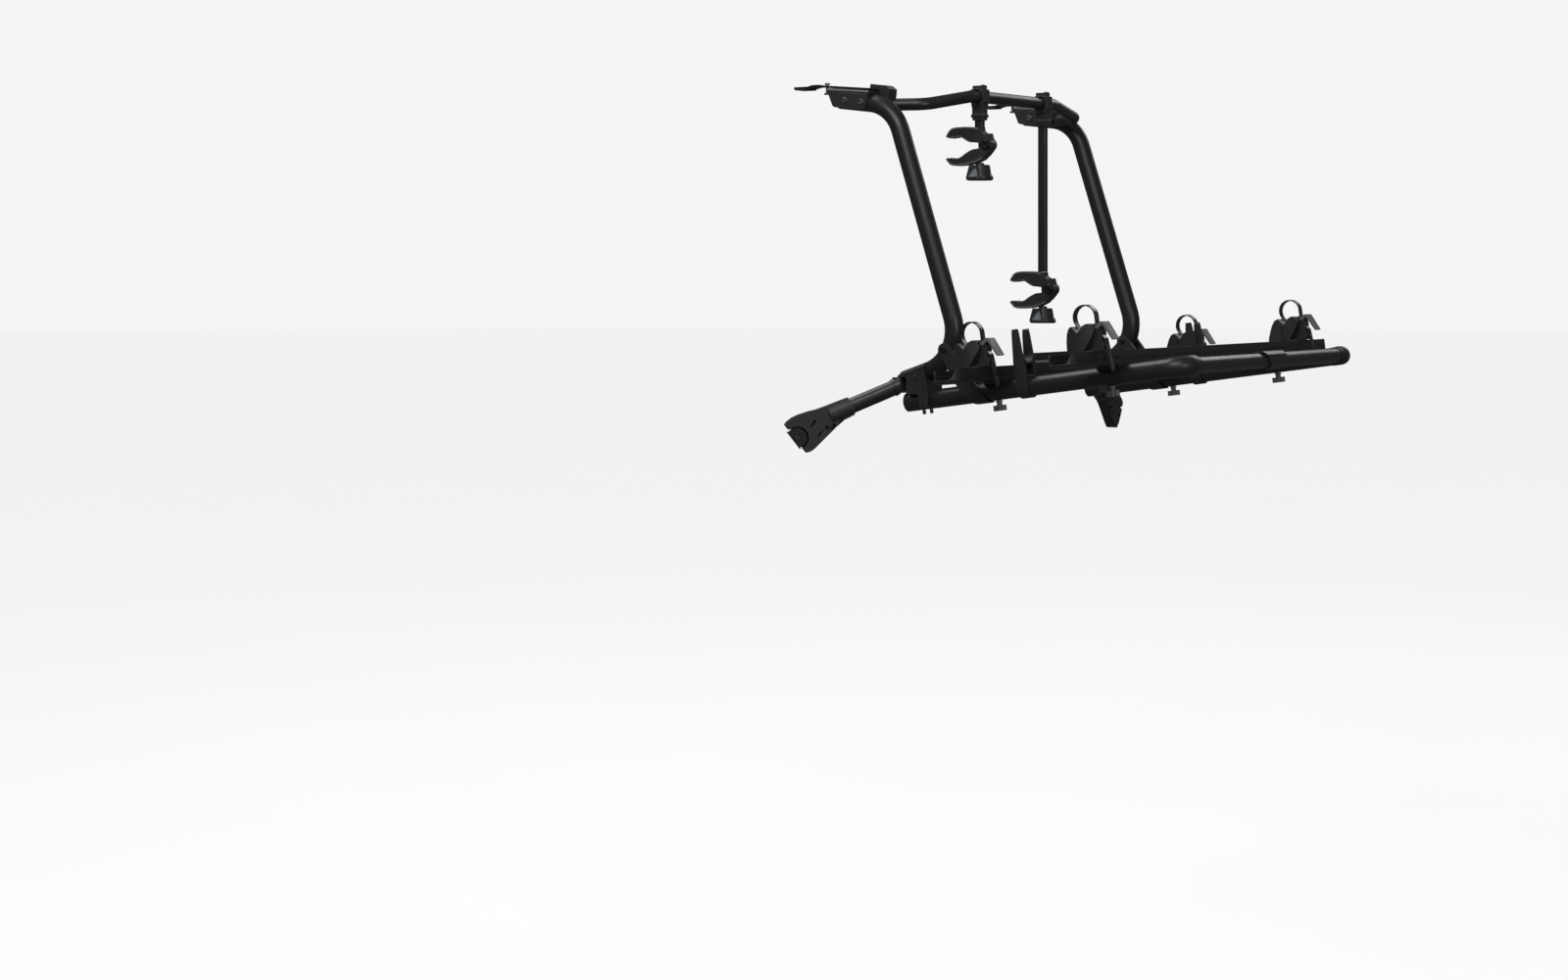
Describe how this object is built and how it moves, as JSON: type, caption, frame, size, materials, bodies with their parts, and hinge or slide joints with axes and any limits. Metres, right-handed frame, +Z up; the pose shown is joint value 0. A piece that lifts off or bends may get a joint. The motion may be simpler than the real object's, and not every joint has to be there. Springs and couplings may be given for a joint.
{
  "type": "motorhome bike rack",
  "caption": "Tailgate bike rack: bent uprights hang on roof hooks and carry a tilting platform with wheel trays, strap holders and claw arms on a cross bar.",
  "frame": {"origin": "midway between the two roof hook seats, on the seat plane", "axes": "+Z up, +X to the right seen from the vehicle's tail, -Y away from the vehicle"},
  "size_m": [1.5512, 1.1383, 0.9515],
  "materials": {
    "coated_tube": "satin powder coat",
    "coated_plate": "satin powder coat",
    "black_plastic": "fine moulded grain",
    "grey_plastic": "satin moulded",
    "strap_plastic": "soft satin",
    "soft_rubber": "matte",
    "dark_steel": "dark zinc"
  },
  "bodies": {
    "bracket_frame": {"upright_left": "coated_tube", "upright_right": "coated_tube", "roof_hook_left": "coated_plate", "roof_hook_right": "coated_plate", "hook_seat_pads": "soft_rubber", "bracket_cover_left": "black_plastic", "bracket_cover_right": "black_plastic", "bracket_bolts": "dark_steel", "bar_collars": "black_plastic", "cross_bar": "coated_tube", "lower_casting_left": "black_plastic", "lower_casting_right": "black_plastic", "fold_pivot_bolts": "dark_steel"},
    "platform": {"side_tube_left": "coated_tube", "side_tube_right": "coated_tube", "tube_end_plugs": "black_plastic", "corner_elbows": "black_plastic", "front_tube": "coated_tube", "front_sleeve": "black_plastic", "pivot_stirrups": "black_plastic", "inner_tray": "coated_tube", "outer_tray": "coated_tube", "tray_end_cups": "black_plastic", "guard_rail": "coated_tube", "upright_clips": "black_plastic"},
    "tee_knob_1": {"tee_knob_1": "grey_plastic"},
    "tee_knob_2": {"tee_knob_2": "grey_plastic"},
    "tee_knob_3": {"tee_knob_3": "grey_plastic"},
    "tee_knob_4": {"tee_knob_4": "grey_plastic"},
    "wheel_holder_1": {"wheel_cradle_1": "black_plastic", "strap_1": "strap_plastic"},
    "wheel_holder_2": {"wheel_cradle_2": "black_plastic", "strap_2": "strap_plastic"},
    "wheel_holder_3": {"wheel_cradle_3": "black_plastic", "strap_3": "strap_plastic"},
    "wheel_holder_4": {"wheel_cradle_4": "black_plastic", "strap_4": "strap_plastic"},
    "strap_lever_1": {"strap_lever_1": "grey_plastic"},
    "strap_lever_2": {"strap_lever_2": "grey_plastic"},
    "strap_lever_3": {"strap_lever_3": "grey_plastic"},
    "strap_lever_4": {"strap_lever_4": "grey_plastic"},
    "stay_left": {"stay_tube_left": "coated_tube", "foot_casting_left": "black_plastic"},
    "foot_pad_left": {"foot_pad_left": "soft_rubber"},
    "stay_right": {"stay_tube_right": "coated_tube", "foot_casting_right": "black_plastic"},
    "foot_pad_right": {"foot_pad_right": "soft_rubber"},
    "short_arm": {"short_arm_clamp": "black_plastic", "short_arm_tube": "coated_tube", "short_upper_jaw": "black_plastic", "short_hub_bolt": "dark_steel"},
    "short_lower_jaw": {"short_lower_jaw": "black_plastic"},
    "short_knob": {"short_knob": "black_plastic"},
    "long_arm": {"long_arm_clamp": "black_plastic", "long_arm_tube": "coated_tube", "long_upper_jaw": "black_plastic", "long_hub_bolt": "dark_steel"},
    "long_lower_jaw": {"long_lower_jaw": "black_plastic"},
    "long_knob": {"long_knob": "black_plastic"}
  },
  "joints": [
    {"name": "platform_fold", "type": "hinge", "parent": "bracket_frame", "child": "platform", "pos_m": [0, -0.434, -0.671], "axis": [-1, 0, 0], "range_deg": [0, 95]},
    {"name": "tee_knob_1_turn", "type": "hinge", "parent": "platform", "child": "tee_knob_1", "pos_m": [-0.485, -0.57767, -0.80228], "axis": [0, 0.1392, 0.9903], "continuous": true},
    {"name": "tee_knob_2_turn", "type": "hinge", "parent": "platform", "child": "tee_knob_2", "pos_m": [-0.485, -0.89257, -0.75803], "axis": [0, 0.1392, 0.9903], "continuous": true},
    {"name": "tee_knob_3_turn", "type": "hinge", "parent": "platform", "child": "tee_knob_3", "pos_m": [0.485, -0.57767, -0.80228], "axis": [0, 0.1392, 0.9903], "continuous": true},
    {"name": "tee_knob_4_turn", "type": "hinge", "parent": "platform", "child": "tee_knob_4", "pos_m": [0.485, -0.89257, -0.75803], "axis": [0, 0.1392, 0.9903], "continuous": true},
    {"name": "wheel_holder_1_slide", "type": "slide", "parent": "platform", "child": "wheel_holder_1", "axis": [1, 0, 0], "range_m": [-0.06, 0.04]},
    {"name": "wheel_holder_2_slide", "type": "slide", "parent": "platform", "child": "wheel_holder_2", "axis": [1, 0, 0], "range_m": [-0.06, 0.04]},
    {"name": "wheel_holder_3_slide", "type": "slide", "parent": "platform", "child": "wheel_holder_3", "axis": [1, 0, 0], "range_m": [-0.04, 0.06]},
    {"name": "wheel_holder_4_slide", "type": "slide", "parent": "platform", "child": "wheel_holder_4", "axis": [1, 0, 0], "range_m": [-0.04, 0.06]},
    {"name": "strap_lever_1_lift", "type": "hinge", "parent": "wheel_holder_1", "child": "strap_lever_1", "pos_m": [-0.597, -0.60262, -0.64932], "axis": [-1, 0, 0], "range_deg": [0, 45]},
    {"name": "strap_lever_2_lift", "type": "hinge", "parent": "wheel_holder_2", "child": "strap_lever_2", "pos_m": [-0.597, -0.91753, -0.60506], "axis": [-1, 0, 0], "range_deg": [0, 45]},
    {"name": "strap_lever_3_lift", "type": "hinge", "parent": "wheel_holder_3", "child": "strap_lever_3", "pos_m": [0.597, -0.60262, -0.64932], "axis": [-1, 0, 0], "range_deg": [0, 45]},
    {"name": "strap_lever_4_lift", "type": "hinge", "parent": "wheel_holder_4", "child": "strap_lever_4", "pos_m": [0.597, -0.91753, -0.60506], "axis": [-1, 0, 0], "range_deg": [0, 45]},
    {"name": "stay_left_swing", "type": "hinge", "parent": "bracket_frame", "child": "stay_left", "pos_m": [-0.49, -0.295, -0.7615], "axis": [0, 0, 1], "range_deg": [-15, 40]},
    {"name": "foot_pad_left_tilt", "type": "hinge", "parent": "stay_left", "child": "foot_pad_left", "pos_m": [-0.66787, -0.09038, -0.89602], "axis": [0.7547, 0.6561, 0], "range_deg": [-6, 6]},
    {"name": "stay_right_swing", "type": "hinge", "parent": "bracket_frame", "child": "stay_right", "pos_m": [0.49, -0.295, -0.7615], "axis": [0, 0, 1], "range_deg": [-5, 45]},
    {"name": "foot_pad_right_tilt", "type": "hinge", "parent": "stay_right", "child": "foot_pad_right", "pos_m": [0.75779, -0.25259, -0.89602], "axis": [-0.1564, 0.9877, 0], "range_deg": [-6, 6]},
    {"name": "short_arm_swing", "type": "hinge", "parent": "bracket_frame", "child": "short_arm", "pos_m": [-0.182, -0.343, -0.0135], "axis": [1, 0, 0], "range_deg": [-85, 15]},
    {"name": "short_lower_jaw_close", "type": "hinge", "parent": "short_arm", "child": "short_lower_jaw", "pos_m": [-0.182, -0.37, -0.1405], "axis": [1, 0, 0], "range_deg": [0, 15]},
    {"name": "short_knob_turn", "type": "hinge", "parent": "short_arm", "child": "short_knob", "pos_m": [-0.182, -0.343, -0.2005], "axis": [0, 0, 1], "range_deg": [0, 660]},
    {"name": "long_arm_swing", "type": "hinge", "parent": "bracket_frame", "child": "long_arm", "pos_m": [0.159, -0.343, -0.0135], "axis": [1, 0, 0], "range_deg": [-85, 15]},
    {"name": "long_lower_jaw_close", "type": "hinge", "parent": "long_arm", "child": "long_lower_jaw", "pos_m": [0.159, -0.37, -0.5225], "axis": [1, 0, 0], "range_deg": [0, 15]},
    {"name": "long_knob_turn", "type": "hinge", "parent": "long_arm", "child": "long_knob", "pos_m": [0.159, -0.343, -0.5825], "axis": [0, 0, 1], "range_deg": [0, 660]}
  ],
  "couplings": [
    {"joint": "short_lower_jaw_close", "follows": "short_knob_turn", "ratio": 0.0222},
    {"joint": "long_lower_jaw_close", "follows": "long_knob_turn", "ratio": 0.0222}
  ]
}
